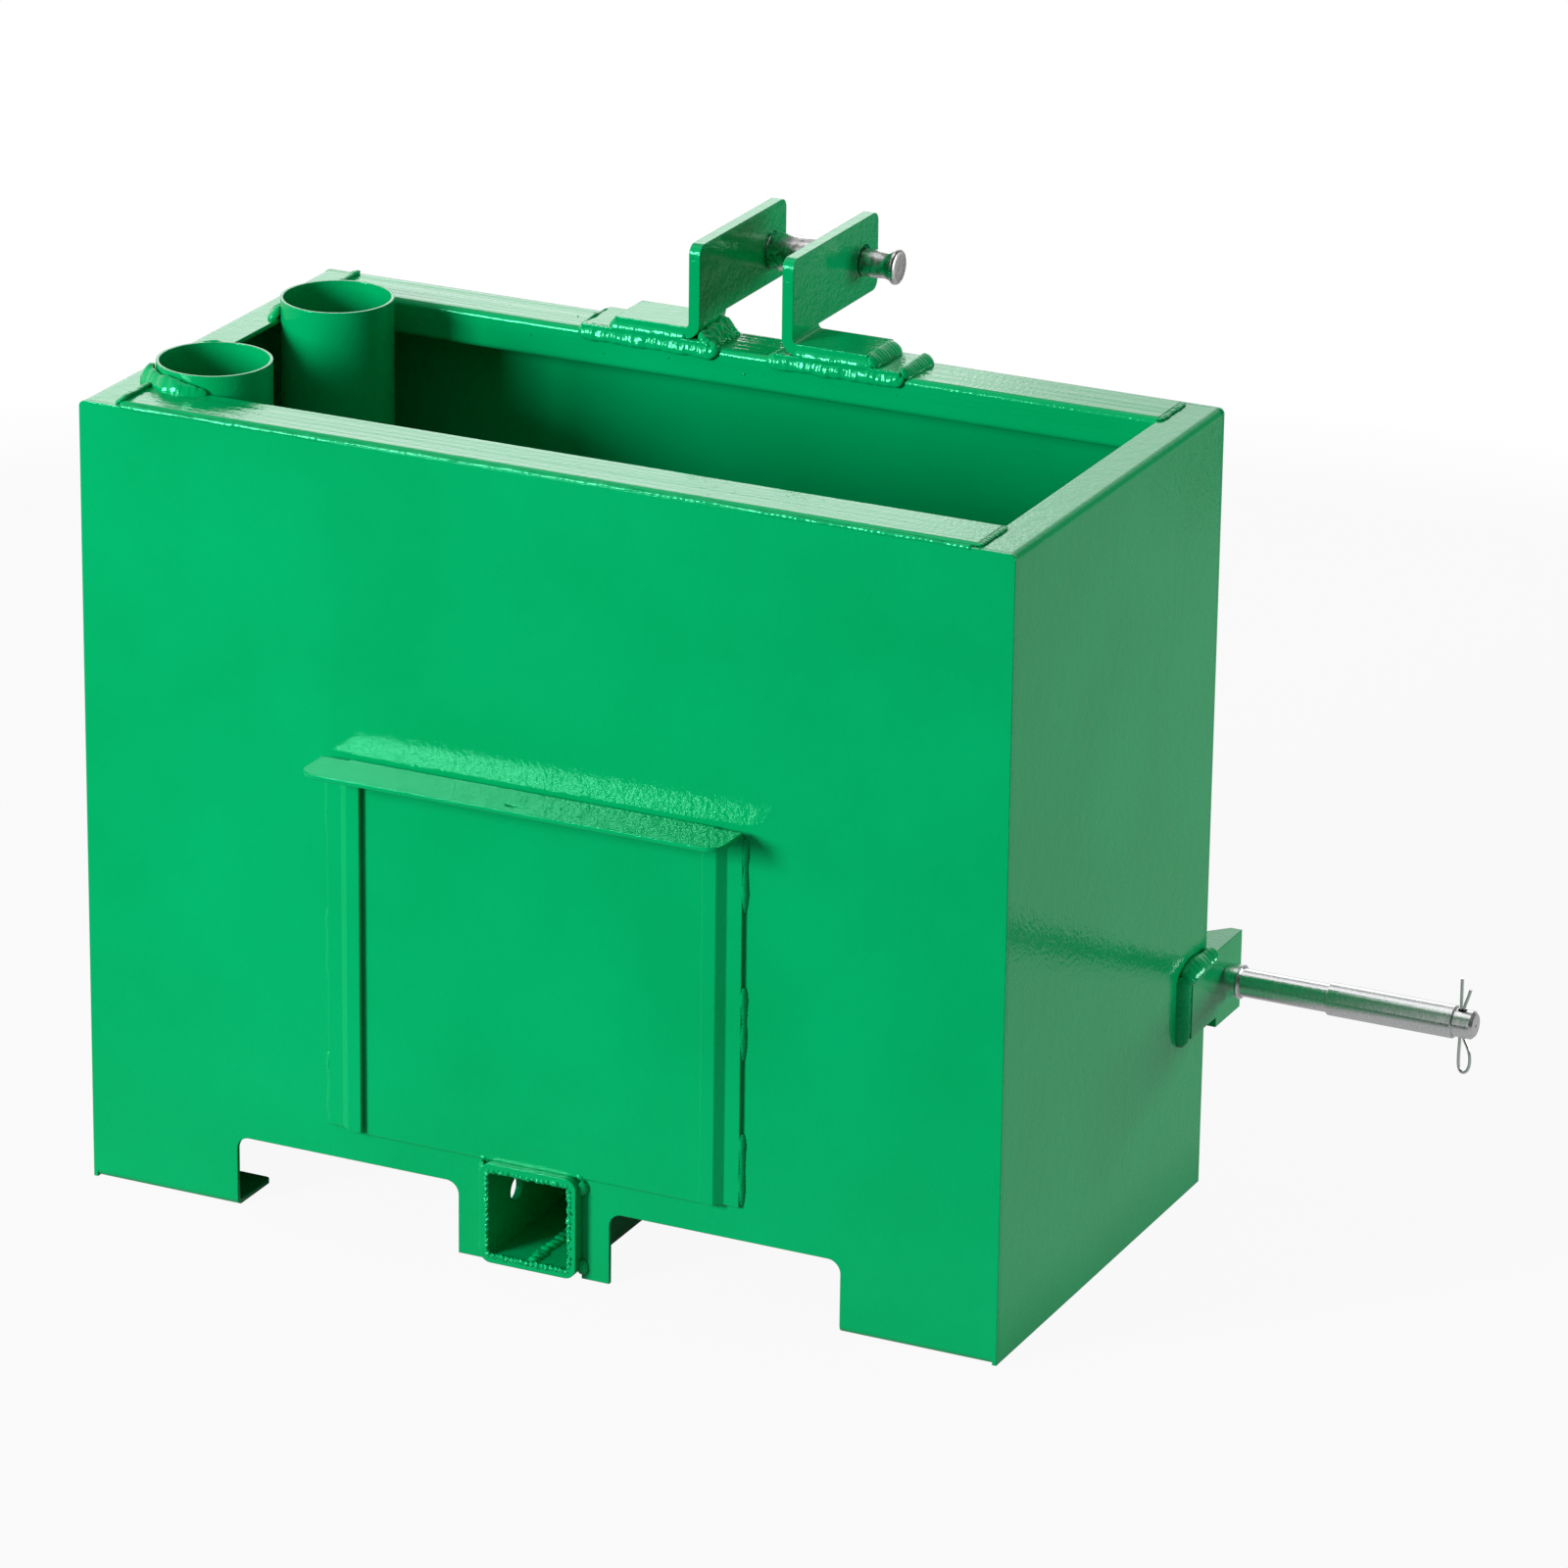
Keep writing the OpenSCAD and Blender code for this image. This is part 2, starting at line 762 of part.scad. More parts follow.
module pin_nut() {
    corner = nut_af / sqrt(3);
    translate([half_w - washer_t - nut_h, pin_axis_y, pin_z]) rotate([0, 90, 0])
        difference() {
            intersection() {
                cylinder(r = corner, h = nut_h, $fn = 6);
                // Chamfered corners at both ends
                union() {
                    cylinder(r1 = nut_af / 2, r2 = nut_af / 2 + nut_h, h = nut_h / 2, $fn = 48);
                    translate([0, 0, nut_h / 2])
                        cylinder(r1 = nut_af / 2 + nut_h, r2 = nut_af / 2, h = nut_h / 2, $fn = 48);
                }
            }
            translate([0, 0, -1]) cylinder(r = stud_d / 2 + thread_gap, h = nut_h + 2);
        }
}

module lock_washer() {
    translate([half_w - washer_t, pin_axis_y, pin_z]) rotate([0, 90, 0]) difference() {
        cylinder(d = nut_af + 1, h = washer_t);
        translate([0, 0, -1]) cylinder(r = stud_d / 2 + thread_gap, h = washer_t + 2);
        // Sloping cut through the ring
        rotate([30, 0, 0]) translate([-nut_af, -1, -washer_t]) cube([nut_af, 2, 3 * washer_t]);
    }
}

module pin_ring() {
    r = ring_wire / 2;
    translate([web_out + shoulder_l + r, pin_axis_y, pin_z]) turned_x()
        translate([pin_d / 2 + r + thread_gap, 0]) circle(r = r, $fn = 24);
}

module pin_sleeve() {
    bore_r = pin_d / 2 + sleeve_fit;
    edge = 0.5;
    translate([sleeve_x0, pin_axis_y, pin_z]) turned_x()
        polygon([[bore_r, 0], [sleeve_d / 2 - edge, 0], [sleeve_d / 2, edge],
            [sleeve_d / 2, sleeve_l - edge], [sleeve_d / 2 - edge, sleeve_l],
            [bore_r, sleeve_l]]);
}

module hitch_cotter() {
    translate([cotter_x, pin_axis_y, pin_z]) cotter();
}

module left_pin_bracket() {
    color(paint) placed() mirrored_if(true) pin_bracket();
}

module right_pin_bracket() {
    color(paint) placed() pin_bracket();
}

module left_hitch_pin() {
    color(zinc) placed() mirrored_if(true) hitch_pin();
}

module right_hitch_pin() {
    color(zinc) placed() hitch_pin();
}

module left_pin_nut() {
    color(zinc) placed() mirrored_if(true) pin_nut();
}

module right_pin_nut() {
    color(zinc) placed() pin_nut();
}

module left_lock_washer() {
    color(zinc) placed() mirrored_if(true) lock_washer();
}

module right_lock_washer() {
    color(zinc) placed() lock_washer();
}

module left_pin_ring() {
    color(zinc) placed() mirrored_if(true) pin_ring();
}

module right_pin_ring() {
    color(zinc) placed() pin_ring();
}

module left_pin_sleeve() {
    color(zinc) placed() mirrored_if(true) pin_sleeve();
}

module right_pin_sleeve() {
    color(zinc) placed() pin_sleeve();
}

module left_cotter() {
    color(zinc) placed() mirrored_if(true) hitch_cotter();
}

module right_cotter() {
    color(zinc) placed() hitch_cotter();
}

module bracket_welds() {
    tongue_y = box_d - tongue_l;
    color(paint) placed() for (left = [false, true]) mirrored_if(left) {
        // Down the front end of the tongue
        translate([half_w, tongue_y, pin_z - tongue_h / 2])
            mirror([0, 1, 0]) fillet_bar(weld_leg, tongue_h);
        // Along the top of the tongue
        translate([half_w, box_d, pin_z + tongue_h / 2])
            rotate([90, 0, 0]) fillet_bar(weld_leg, tongue_l);
    }
}

front_panel();
rear_panel();
left_side_panel();
right_side_panel();
floor_plate();
front_rim_tube();
rear_rim_tube();
front_tool_tube();
rear_tool_tube();
receiver_tube();
gate();
left_gate_rail();
right_gate_rail();
left_pad_plate();
right_pad_plate();
left_top_bracket();
right_top_bracket();
top_pin();
top_cotter();
left_pin_bracket();
right_pin_bracket();
left_hitch_pin();
right_hitch_pin();
left_pin_nut();
right_pin_nut();
left_lock_washer();
right_lock_washer();
left_pin_ring();
right_pin_ring();
left_pin_sleeve();
right_pin_sleeve();
left_cotter();
right_cotter();
rim_welds();
tool_tube_welds();
pad_welds();
rail_welds();
bracket_welds();
receiver_welds();
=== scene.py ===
import math

import bmesh
import bpy
from mathutils import Matrix, Vector


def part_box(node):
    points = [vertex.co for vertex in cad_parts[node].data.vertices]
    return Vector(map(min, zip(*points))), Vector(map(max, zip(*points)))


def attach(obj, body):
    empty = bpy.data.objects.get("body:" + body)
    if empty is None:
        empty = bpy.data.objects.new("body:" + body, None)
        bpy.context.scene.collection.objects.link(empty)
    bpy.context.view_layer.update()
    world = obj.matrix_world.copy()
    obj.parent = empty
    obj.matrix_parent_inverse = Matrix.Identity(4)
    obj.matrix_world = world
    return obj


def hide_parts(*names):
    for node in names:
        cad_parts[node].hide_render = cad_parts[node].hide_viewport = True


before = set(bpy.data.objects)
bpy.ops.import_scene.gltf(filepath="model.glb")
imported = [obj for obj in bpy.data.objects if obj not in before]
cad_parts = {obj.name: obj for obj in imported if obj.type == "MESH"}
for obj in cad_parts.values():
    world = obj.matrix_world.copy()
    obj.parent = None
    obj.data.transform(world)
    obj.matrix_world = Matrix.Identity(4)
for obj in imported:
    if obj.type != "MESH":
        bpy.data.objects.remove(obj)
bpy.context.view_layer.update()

# The camera stands in front of the gate, to the right of the box and above
# it, with a long lens. Its place was solved from the corners of the box.
scene = bpy.context.scene
scene.view_settings.view_transform = "Standard"


def put(name, data):
    """Puts an object with its data into the scene."""
    thing = bpy.data.objects.new(name, data)
    scene.collection.objects.link(thing)
    return thing


view_azimuth, view_height, view_roll = (math.radians(a) for a in (25.398, 20.634, 0.773))
view_back = Vector((math.sin(view_azimuth) * math.cos(view_height),
                    -math.cos(view_azimuth) * math.cos(view_height),
                    math.sin(view_height)))
level_right = Vector((math.cos(view_azimuth), math.sin(view_azimuth), 0))
level_up = view_back.cross(level_right)
view_right = level_right * math.cos(view_roll) + level_up * math.sin(view_roll)
view_up = view_back.cross(view_right)
view_from = Vector((2.1451, -4.3402, 2.0963))
lens = bpy.data.cameras.new("camera")
lens.sensor_width = 36
lens.lens = 180.2
lens.clip_end = 50
camera = put("camera", lens)
view_turn = Matrix((view_right, view_up, view_back)).transposed()
camera.matrix_world = Matrix.Translation(view_from) @ view_turn.to_4x4()
scene.camera = camera

# The floor is plain white paper. It runs out to the white of the background
# and keeps the shadow of the box.


def linear(code):
    """Linear colour of an sRGB hex code."""
    parts = [int(code[i:i + 2], 16) / 255 for i in (1, 3, 5)]
    return [c / 12.92 if c <= 0.04045 else ((c + 0.055) / 1.055) ** 2.4 for c in parts] + [1]


def add(tree, kind, inputs=(), **settings):
    """Adds a node, gives it its settings, and sets or links its inputs."""
    node = tree.nodes.new(kind)
    for name, value in settings.items():
        setattr(node, name, value)
    for key, value in dict(inputs).items():
        if isinstance(value, bpy.types.NodeSocket):
            tree.links.new(value, node.inputs[key])
        else:
            node.inputs[key].default_value = value
    return node


def maths(tree, operation, a, b=0.0, c=0.0):
    return add(tree, "ShaderNodeMath", {0: a, 1: b, 2: c}, operation=operation).outputs[0]


def vector_maths(tree, operation, a, b=(0, 0, 0)):
    node = add(tree, "ShaderNodeVectorMath", {0: a, 1: b}, operation=operation)
    return node.outputs["Value" if operation in ("DOT_PRODUCT", "LENGTH") else 0]


def remap(tree, value, start, end, low=0.0, high=1.0):
    """Turns start to end of a value into low to high, and holds it beyond."""
    return add(tree, "ShaderNodeMapRange", {"Value": value, "From Min": start, "From Max": end,
                                            "To Min": low, "To Max": high}).outputs[0]


def blend(tree, share, one, two):
    """Mixes two shaders; a share of 1 is all of the second."""
    return add(tree, "ShaderNodeMixShader", {0: share, 1: one, 2: two}).outputs[0]


def glow(tree, kind, strength, colour=(1, 1, 1, 1)):
    return add(tree, kind, {"Color": colour, "Strength": strength}).outputs[0]


def in_mirrors(tree, path):
    """1 for the rays that gloss and metal send out, 0 for all others."""
    return maths(tree, "MAXIMUM", path.outputs["Is Glossy Ray"],
                 path.outputs["Is Transmission Ray"])


def new_material(name):
    material = bpy.data.materials.new(name)
    material.use_nodes = True
    material.node_tree.nodes.clear()
    return material


paper = new_material("white_paper_floor")
tree = paper.node_tree
# The lit sheet ends 1.6 m from the box; past it the room's floor is dark
place = add(tree, "ShaderNodeTexCoord").outputs["Object"]
past = remap(tree, vector_maths(tree, "LENGTH", place), 1.5, 1.75)
sheet = add(tree, "ShaderNodeMix", {"Factor": past, 6: linear("#A8A8A8"),
                                    7: linear("#404040")}, data_type="RGBA")
matt = add(tree, "ShaderNodeBsdfDiffuse", {"Color": sheet.outputs[2]}).outputs[0]
path = add(tree, "ShaderNodeLightPath")
# The eye sees it nearly white, with a faint shadow
shown = blend(tree, remap(tree, past, 0.0, 1.0, 0.93, 1.0), matt,
              glow(tree, "ShaderNodeEmission", 1.0))
shown = blend(tree, path.outputs["Is Camera Ray"], matt, shown)
# Gloss and metal see the sheet as a glow of painted light and shade: bright beside
# and behind the box, painted shade in front of it and under it, where it lies in shade.
# Far behind the box the painted glow is white on the left, with a painted dark gap on the right
across = add(tree, "ShaderNodeSeparateXYZ", {"Vector": place}).outputs
painted_mirror_light = remap(tree, across["Y"], -0.6, 0.0, 0.10, 0.44)
under = vector_maths(tree, "MULTIPLY", place, (3.0, 5.6, 0))
under = add(tree, "ShaderNodeSeparateXYZ", {"Vector": vector_maths(tree, "ABSOLUTE", under)})
under = maths(tree, "MAXIMUM", under.outputs["X"], under.outputs["Y"])
# Painted shade: under the box the painted glow drops to a tenth
shade = remap(tree, under, 0.85, 1.1, 0.1, 1.0)
# Painted light far behind the box on the left, painted dark gap far behind it on the right
far = remap(tree, across["Y"], 1.42, 1.56)
left_gain = remap(tree, across["X"], 0.1, 0.45, 1.2, -0.92)
right_gain = remap(tree, across["X"], 0.82, 0.93, -0.92, 0.0)
gain = maths(tree, "MAXIMUM", left_gain, right_gain)
beyond = maths(tree, "MULTIPLY_ADD", far, gain, 1.0)
for factor in (shade, beyond):
    painted_mirror_light = maths(tree, "MULTIPLY", painted_mirror_light, factor)
mirrored = glow(tree, "ShaderNodeEmission", painted_mirror_light)
add(tree, "ShaderNodeOutputMaterial", {
    "Surface": blend(tree, in_mirrors(tree, path), shown, mirrored)})
floor_mesh = bpy.data.meshes.new("floor")
floor_mesh.from_pydata([(x, y, -0.0002) for x, y in ((-9, -9), (9, -9), (9, 9), (-9, 9))],
                       [], [(0, 1, 2, 3)])
floor_mesh.materials.append(paper)
floor = put("floor", floor_mesh)

# The background is white to the eye and in reflections, and gives a low
# even light. One soft box stands at the front left, two stand behind the box,
# where its upper faces mirror them, one at the right rear and one overhead.
world = bpy.data.worlds.new("studio")
world.use_nodes = True
scene.world = world
tree = world.node_tree
tree.nodes.clear()
path = add(tree, "ShaderNodeLightPath")
fill = glow(tree, "ShaderNodeBackground", 0.26, (1, 1, 0.85, 1))
shown = blend(tree, path.outputs["Is Camera Ray"], fill,
              glow(tree, "ShaderNodeBackground", 1.0))
# Gloss and metal see the white room, up to a dark ceiling. It is dim at the
# right and dark at the front right, where no lamp stands
toward = add(tree, "ShaderNodeNewGeometry").outputs["Position"]
way = add(tree, "ShaderNodeSeparateXYZ", {"Vector": toward}).outputs
room = remap(tree, way["Z"], 0.55, 0.85, 1.0, 0.3)
dim = remap(tree, way["X"], 0.05, 0.35, 1.0, 0.15)
corner = vector_maths(tree, "DOT_PRODUCT", toward, (0.45, -0.85, 0.3))
unlit = remap(tree, corner, 0.5, 0.85, 1.0, 0.15)
for factor in (dim, unlit):
    room = maths(tree, "MULTIPLY", room, factor)
mirrored = glow(tree, "ShaderNodeBackground", room)
add(tree, "ShaderNodeOutputWorld", {
    "Surface": blend(tree, in_mirrors(tree, path), shown, mirrored)})


def soft_box(name, place, aim, width, height, radiance):
    """A lamp that faces a point, unseen by the camera."""
    lamp = bpy.data.lights.new(name, "AREA")
    lamp.shape = "RECTANGLE"
    lamp.size, lamp.size_y = width, height
    lamp.energy = radiance * math.pi * width * height
    stand = put(name, lamp)
    turn = (Vector(place) - Vector(aim)).to_track_quat("Z", "Y").to_matrix().to_4x4()
    stand.matrix_world = Matrix.Translation(place) @ turn
    stand.visible_camera = False


soft_box("front_left_light", (-2.05, -3.3, 1.45), (0, 0, 0.3), 1.1, 1.3, 35.5)
soft_box("back_left_light", (-1.9, 2.9, 1.6), (-1.9, 0, 1.6), 1.7, 1.3, 1.6)
soft_box("back_right_light", (-0.7, 2.9, 1.6), (-0.7, 0, 1.6), 0.7, 1.3, 0.75)
soft_box("right_rear_light", (2.3, 1.5, 0.44), (0.33, 0, 0.32), 1.2, 0.7, 11.0)
soft_box("top_light", (-0.3, 0.2, 3.2), (0, 0, 0), 2.2, 2.2, 0.9)

# The shell is folded from 3 mm mild steel sheet: front and rear panels with
# fork pockets, two side panels folded in at the top, and a floor plate. All
# of it is welded, then coated with glossy green powder paint and baked.


def tones(tree, value, start, dark, end, light):
    """Colour that is dark up to the start of a value and light from its end."""
    ramp = add(tree, "ShaderNodeValToRGB", {"Fac": value})
    for stop, position, code in zip(ramp.color_ramp.elements, (start, end), (dark, light)):
        stop.position = position
        stop.color = linear(code)
    return ramp.outputs["Color"]


powder = new_material("green_powder_coat")
tree = powder.node_tree
place = add(tree, "ShaderNodeTexCoord", name="place").outputs["Object"]
# Slow change of tone where the coat is thicker, over about 120 mm
cloud = add(tree, "ShaderNodeTexNoise", {"Vector": place, "Scale": 8.0,
                                         "Detail": 3.0}).outputs["Fac"]
tone = tones(tree, cloud, 0.35, "#00A862", 0.65, "#00AF69")
# Orange peel: waves of about 3 mm, and slower flow marks of 12 mm
peel = add(tree, "ShaderNodeTexNoise", {"Vector": place, "Scale": 340.0, "Detail": 2.0})
flow = add(tree, "ShaderNodeTexNoise", {"Vector": place, "Scale": 85.0, "Detail": 1.0},
           name="flow")
skin = add(tree, "ShaderNodeMath", {0: flow.outputs["Fac"], 1: 1.0, 2: peel.outputs["Fac"]},
           operation="MULTIPLY_ADD", name="skin")
edge = add(tree, "ShaderNodeBevel", {"Radius": 0.0012}, samples=6)
relief = add(tree, "ShaderNodeBump", {"Strength": 0.30, "Distance": 0.0006,
                                      "Height": skin.outputs[0],
                                      "Normal": edge.outputs[0]})
paint = add(tree, "ShaderNodeBsdfPrincipled", {
    "Base Color": tone, "Roughness": remap(tree, cloud, 0.3, 0.7, 0.08, 0.11),
    "IOR": 1.5, "Specular IOR Level": 0.5, "Specular Tint": (0.2, 1.0, 0.64, 1),
    "Normal": relief.outputs[0]})
add(tree, "ShaderNodeOutputMaterial", {"Surface": paint.outputs[0]})


def finish(material, *nodes):
    """Gives a finish to pieces of the frame."""
    for name in nodes:
        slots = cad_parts[name].data.materials
        slots.clear()
        slots.append(material)


finish(powder, "front_panel", "rear_panel", "left_side_panel", "right_side_panel",
       "floor_plate")

# The rim is 43 x 25 mm tube across the front and the rear, between the folded
# edges of the side panels. A weld bead closes each of its four end seams.
# The coat shows the die lines of the rolled tube, 4 to 8 mm apart, all along it
tube_powder = powder.copy()
tube_powder.name = "green_powder_coat_on_rolled_tube"
nodes = tube_powder.node_tree.nodes
lengthwise = add(tube_powder.node_tree, "ShaderNodeMapping",
                 {"Vector": nodes["place"].outputs["Object"], "Scale": (0.015, 1, 1)})
tube_powder.node_tree.links.new(lengthwise.outputs[0], nodes["flow"].inputs["Vector"])
nodes["flow"].inputs["Scale"].default_value = 170.0
nodes["skin"].inputs[1].default_value = 2.6
finish(tube_powder, "front_rim_tube", "rear_rim_tube")
front_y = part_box("front_panel")[0][1]


def spot(x, y, z):
    """Point of the box in metres, from millimetres off its middle, its front
    face and the ground."""
    return Vector((x / 1000, front_y + y / 1000, z / 1000))


# A bead is a row of overlapping puddles: a flattened round bar along its seam,
# with curved ripples across its crown and ends that taper off
bead_tree = bpy.data.node_groups.new("weld_bead", "GeometryNodeTree")
face = bead_tree.interface
face.new_socket("Seam", in_out="INPUT", socket_type="NodeSocketGeometry")
for name, value in (("Step", 0.0006), ("Height", 0.75), ("Ripple Pitch", 0.0024),
                    ("Ripple Depth", 0.0004), ("Lump Size", 0.006), ("Lumps", 0.0005),
                    ("Seed", 1.0)):
    face.new_socket(name, in_out="INPUT", socket_type="NodeSocketFloat").default_value = value
face.new_socket("Finish", in_out="INPUT", socket_type="NodeSocketMaterial")
face.new_socket("Bead", in_out="OUTPUT", socket_type="NodeSocketGeometry")
given = add(bead_tree, "NodeGroupInput").outputs
seam = add(bead_tree, "GeometryNodeMeshToCurve", {"Mesh": given["Seam"]})
seam = add(bead_tree, "GeometryNodeCurveSplineType", {"Curve": seam.outputs[0]},
           spline_type="CATMULL_ROM")
seam = add(bead_tree, "GeometryNodeResampleCurve", {"Curve": seam.outputs[0],
                                                    "Length": given["Step"]}, mode="LENGTH")
run = add(bead_tree, "GeometryNodeSplineParameter").outputs["Length"]
whole = add(bead_tree, "GeometryNodeSplineLength").outputs["Length"]
size = add(bead_tree, "GeometryNodeInputNamedAttribute", {"Name": "size"}).outputs[0]
to_end = maths(bead_tree, "MINIMUM", run, maths(bead_tree, "SUBTRACT", whole, run))
# Round ends: the bar's half width follows a quarter circle that stops just
# short of a point
share = add(bead_tree, "ShaderNodeMath", {0: to_end, 1: size}, operation="DIVIDE",
            use_clamp=True).outputs[0]
taper = maths(bead_tree, "MULTIPLY_ADD", share, -1.0, 1.0)
taper = maths(bead_tree, "SQRT", maths(bead_tree, "SUBTRACT", 1.004,
                                       maths(bead_tree, "MULTIPLY", taper, taper)))
# Keep each ring's distance along the seam and its middle for the ripples
spine = add(bead_tree, "GeometryNodeInputPosition").outputs[0]
kept = add(bead_tree, "GeometryNodeCaptureAttribute", {"Geometry": seam.outputs[0]})
kept.capture_items.new("FLOAT", "run")
kept.capture_items.new("VECTOR", "spine")
bead_tree.links.new(run, kept.inputs[1])
bead_tree.links.new(spine, kept.inputs[2])
ring = add(bead_tree, "GeometryNodeCurvePrimitiveCircle", {"Resolution": 24, "Radius": 1.0})
bar = add(bead_tree, "GeometryNodeCurveToMesh", {
    "Curve": kept.outputs[0], "Profile Curve": ring.outputs[0],
    "Scale": maths(bead_tree, "MULTIPLY", size, taper), "Fill Caps": True})
# Press the bar flat along its crown, which is kept as a vector on the seam
crown = add(bead_tree, "GeometryNodeInputNamedAttribute", {"Name": "crown"},
            data_type="FLOAT_VECTOR").outputs[0]
here = add(bead_tree, "GeometryNodeInputPosition").outputs[0]
rise = vector_maths(bead_tree, "DOT_PRODUCT",
                    vector_maths(bead_tree, "SUBTRACT", here, kept.outputs[2]), crown)
press = add(bead_tree, "ShaderNodeVectorMath", {
    0: crown, "Scale": maths(bead_tree, "MULTIPLY", rise,
                             maths(bead_tree, "SUBTRACT", given["Height"], 1.0))},
    operation="SCALE").outputs[0]
pressed = add(bead_tree, "GeometryNodeSetPosition", {"Geometry": bar.outputs[0],
                                                     "Offset": press})
# Ripples lag at the toes, so they curve over the crown; lumps go anywhere
outward = add(bead_tree, "GeometryNodeInputNormal").outputs[0]
lean = vector_maths(bead_tree, "DOT_PRODUCT", outward, crown)
wave = maths(bead_tree, "MULTIPLY_ADD", lean, 0.9,
             maths(bead_tree, "DIVIDE", kept.outputs[1], given["Ripple Pitch"]))
wave = maths(bead_tree, "ABSOLUTE", maths(bead_tree, "SINE",
                                          maths(bead_tree, "MULTIPLY", wave, math.pi)))
wave = maths(bead_tree, "MULTIPLY", maths(bead_tree, "SUBTRACT", wave, 0.6),
             given["Ripple Depth"])
noise = add(bead_tree, "ShaderNodeTexNoise", {
    "Vector": here, "W": given["Seed"], "Detail": 2.0,
    "Scale": maths(bead_tree, "DIVIDE", 1.0, given["Lump Size"])}, noise_dimensions="4D")
lump = maths(bead_tree, "MULTIPLY", maths(bead_tree, "SUBTRACT", noise.outputs[0], 0.5),
             maths(bead_tree, "MULTIPLY", given["Lumps"], 4.0))
swell = add(bead_tree, "ShaderNodeVectorMath", {
    0: outward, "Scale": maths(bead_tree, "ADD", wave, lump)}, operation="SCALE").outputs[0]
bead = add(bead_tree, "GeometryNodeSetPosition", {"Geometry": pressed.outputs[0],
                                                  "Offset": swell})
bead = add(bead_tree, "GeometryNodeSetShadeSmooth", {"Geometry": bead.outputs[0]})
bead = add(bead_tree, "GeometryNodeRealizeInstances", {"Geometry": bead.outputs[0]})
bead = add(bead_tree, "GeometryNodeSetMaterial", {"Geometry": bead.outputs[0],
                                                  "Material": given["Finish"]})
add(bead_tree, "NodeGroupOutput", {"Bead": bead.outputs[0]})


def plain_mesh(source, name):
    """Smooth mesh of an object as it is evaluated; the object itself goes."""
    graph = bpy.context.evaluated_depsgraph_get()
    mesh = bpy.data.meshes.new_from_object(source.evaluated_get(graph))
    bpy.data.objects.remove(source)
    mesh.name = name
    mesh.shade_smooth()
    return mesh


def grow(name, mesh, tree, **amounts):
    """Runs a tree on a mesh and returns the result as a plain object."""
    seed = put(name, mesh)
    modifier = seed.modifiers.new("grow", "NODES")
    modifier.node_group = tree
    keys = {item.name: item.identifier for item in tree.interface.items_tree
            if item.in_out == "INPUT"}
    for label, value in amounts.items():
        modifier[keys[label.replace("_", " ").title()]] = value
    grown = plain_mesh(seed, name)
    for extra in ("size", "crown"):
        if extra in grown.attributes:
            grown.attributes.remove(grown.attributes[extra])
    return put(name, grown)


def weld(name, seams, nodes=(), stand=0.55, **amounts):
    """Beads along seams. A seam is its points in the corner of the joint, the
    leg of the bead in millimetres at each point or at all of them, and the
    direction that the crown faces. The bead's middle stands out from the
    corner by a share of the leg."""
    points, edges, sizes, crowns = [], [], [], []
    for line, legs, crown in seams:
        first = len(points)
        legs = list(legs) if isinstance(legs, (list, tuple)) else [legs] * len(line)
        facing = crown if isinstance(crown, list) else [crown] * len(line)
        facing = [Vector(v).normalized() for v in facing]
        points += [p + v * stand * leg / 1000 for p, leg, v in zip(line, legs, facing)]
        edges += [(first + i, first + i + 1) for i in range(len(line) - 1)]
        # A bead in a corner is about 1.44 times as wide as its leg
        sizes += [0.72 * leg / 1000 for leg in legs]
        crowns += [c for v in facing for c in v]
    mesh = bpy.data.meshes.new(name + "_seams")
    mesh.from_pydata(points, edges, [])
    mesh.attributes.new("size", "FLOAT", "POINT").data.foreach_set("value", sizes)
    mesh.attributes.new("crown", "FLOAT_VECTOR", "POINT").data.foreach_set("vector", crowns)
    piece = grow(name, mesh, bead_tree, finish=powder, **amounts)
    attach(piece, "box")
    if nodes:
        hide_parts(*nodes)
    return piece


def along_y(x, ys, z):
    return [spot(x, y, z) for y in ys]


def along_x(xs, y, z):
    return [spot(x, y, z) for x in xs]


def along_z(x, y, zs):
    return [spot(x, y, z) for z in zs]


weld("rim_seam_beads", [
    (along_y(-302, (y0 + 1, y0 + 12, y0 + 24, y0 + 36, y0 + 42), 543),
     [5.6 * f for f in (0.8, 1.1, 0.9, 1.1, 0.8)], (-1, 0, 1.4)) for y0 in (3, 284)],
    ("rim_welds",), stand=0.4, height=0.45, lumps=0.0005, seed=3.0)
# The right-hand seams lie lower and flat, level with the top of the tube
weld("right_rim_seam_beads", [
    (along_y(302.8, (y0 + 1, y0 + 11, y0 + 20, y0 + 30, y0 + 42), 543.9),
     (3.2, 4.2, 3.6, 4.4, 3.4), (0.05, 0, 1)) for y0 in (3, 284)],
    stand=0, height=0.3, ripple_pitch=0.0034, ripple_depth=0.0003, lump_size=0.005,
    lumps=0.0003, seed=4.0)
# A narrow seal bead runs along the upper edge of the front panel. It lies
# further back over the gate, which slides up past it
weld("panel_edge_bead", [
    ([spot(x, 0.3 if abs(x) > 150 else 1.6, 543.2) for x in range(-300, 301, 24)],
     [1.9 + 0.4 * math.sin(2.3 * i) for i in range(26)], (-0.06, -0.94, 0.33))],
    stand=0, height=0.4, ripple_pitch=0.004, ripple_depth=0.0001, lump_size=0.009,
    lumps=0.0003, seed=6.0)

# Two 76 mm tubes for hand tools stand in the left end, from the floor to just
# above the rim, and are welded where they touch the rim and the side panel.
finish(powder, "front_tool_tube", "rear_tool_tube")


tool_tube_r = 38


def round_tube(middle, z, angles, lift=0.8):
    """Corner round a tool tube at a height, and the way a bead there faces."""
    away = [Vector((math.cos(math.radians(a)), math.sin(math.radians(a)), 0)) for a in angles]
    line = [spot(middle[0] + tool_tube_r * v.x, middle[1] + tool_tube_r * v.y, z)
            for v in away]
    return line, [v + Vector((0, 0, lift)) for v in away]


